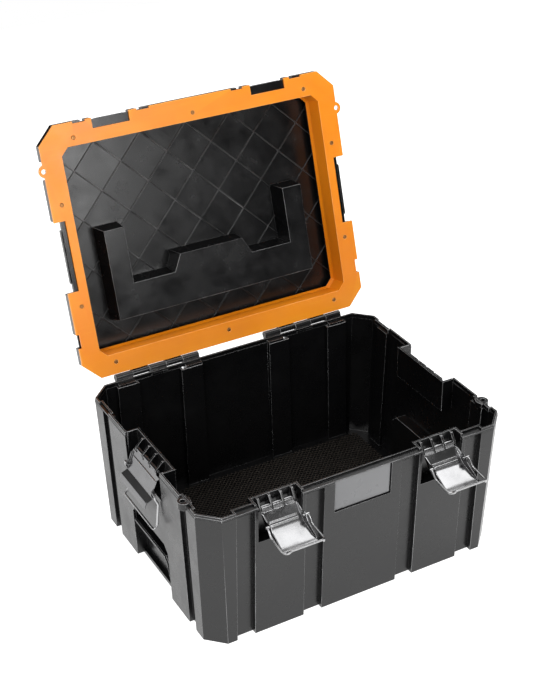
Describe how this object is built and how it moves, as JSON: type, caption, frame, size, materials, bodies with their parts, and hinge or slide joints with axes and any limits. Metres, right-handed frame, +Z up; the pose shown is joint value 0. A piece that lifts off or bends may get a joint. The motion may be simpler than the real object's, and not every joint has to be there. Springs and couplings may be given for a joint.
{
  "type": "stackable tool case",
  "caption": "Deep ribbed plastic case with a hinged lid held open, draw latches with wire bails, side hand grips and a carry handle folded into the lid.",
  "frame": {"origin": "centre of the flat underside", "axes": "+X to the case's right seen from the front, +Y from the front towards the hinge, +Z up"},
  "size_m": [0.474, 0.5459, 0.5351],
  "materials": {
    "body_plastic": "fine grained moulding",
    "frame_plastic": "satin moulding",
    "handle_plastic": "satin moulding",
    "label": "satin, blank",
    "latch_steel": "bright plated",
    "pin_steel": "drawn",
    "screw_steel": "zinc plated"
  },
  "bodies": {
    "tub": {"tub": "body_plastic", "label_plate": "label", "hinge_pin_left": "pin_steel", "hinge_pin_right": "pin_steel", "latch_rod_front_left": "pin_steel", "latch_rod_front_right": "pin_steel", "latch_rod_side_left": "pin_steel", "latch_rod_side_right": "pin_steel"},
    "lid": {"lid_shell": "body_plastic", "lid_frame": "frame_plastic", "frame_screws": "screw_steel", "handle_pins": "pin_steel"},
    "handle": {"carry_handle": "handle_plastic"},
    "lever_front_left": {"lever_front_left": "latch_steel"},
    "bail_front_left": {"bail_front_left": "latch_steel"},
    "lever_front_right": {"lever_front_right": "latch_steel"},
    "bail_front_right": {"bail_front_right": "latch_steel"},
    "lever_side_left": {"lever_side_left": "latch_steel"},
    "bail_side_left": {"bail_side_left": "latch_steel"},
    "lever_side_right": {"lever_side_right": "latch_steel"},
    "bail_side_right": {"bail_side_right": "latch_steel"}
  },
  "joints": [
    {"name": "lid_hinge", "type": "hinge", "parent": "tub", "child": "lid", "pos_m": [0, 0.1764, 0.2018], "axis": [1, 0, 0], "range_deg": [0, 106.6]},
    {"name": "lever_front_left_pivot", "type": "hinge", "parent": "tub", "child": "lever_front_left", "pos_m": [-0.117, -0.16, 0.187], "axis": [1, 0, 0], "range_deg": [-55, 41]},
    {"name": "bail_front_left_pivot", "type": "hinge", "parent": "lever_front_left", "child": "bail_front_left", "pos_m": [-0.117, -0.18643, 0.17743], "axis": [-1, 0, 0], "range_deg": [-10, 146.7]},
    {"name": "lever_front_right_pivot", "type": "hinge", "parent": "tub", "child": "lever_front_right", "pos_m": [0.117, -0.16, 0.187], "axis": [1, 0, 0], "range_deg": [-55, 41]},
    {"name": "bail_front_right_pivot", "type": "hinge", "parent": "lever_front_right", "child": "bail_front_right", "pos_m": [0.117, -0.18643, 0.17743], "axis": [-1, 0, 0], "range_deg": [-10, 146.7]},
    {"name": "lever_side_left_pivot", "type": "hinge", "parent": "tub", "child": "lever_side_left", "pos_m": [-0.212, 0, 0.187], "axis": [0, -1, 0], "range_deg": [-99, 0]},
    {"name": "bail_side_left_pivot", "type": "hinge", "parent": "lever_side_left", "child": "bail_side_left", "pos_m": [-0.22437, 0, 0.16176], "axis": [0, 1, 0], "range_deg": [-4, 192]},
    {"name": "lever_side_right_pivot", "type": "hinge", "parent": "tub", "child": "lever_side_right", "pos_m": [0.212, 0, 0.187], "axis": [0, 1, 0], "range_deg": [-99, 0]},
    {"name": "bail_side_right_pivot", "type": "hinge", "parent": "lever_side_right", "child": "bail_side_right", "pos_m": [0.22437, 0, 0.16176], "axis": [0, -1, 0], "range_deg": [-4, 192]},
    {"name": "handle_fold", "type": "hinge", "parent": "lid", "child": "handle", "pos_m": [0, 0.25851, 0.36452], "axis": [1, 0, 0], "range_deg": [0, 90]}
  ]
}
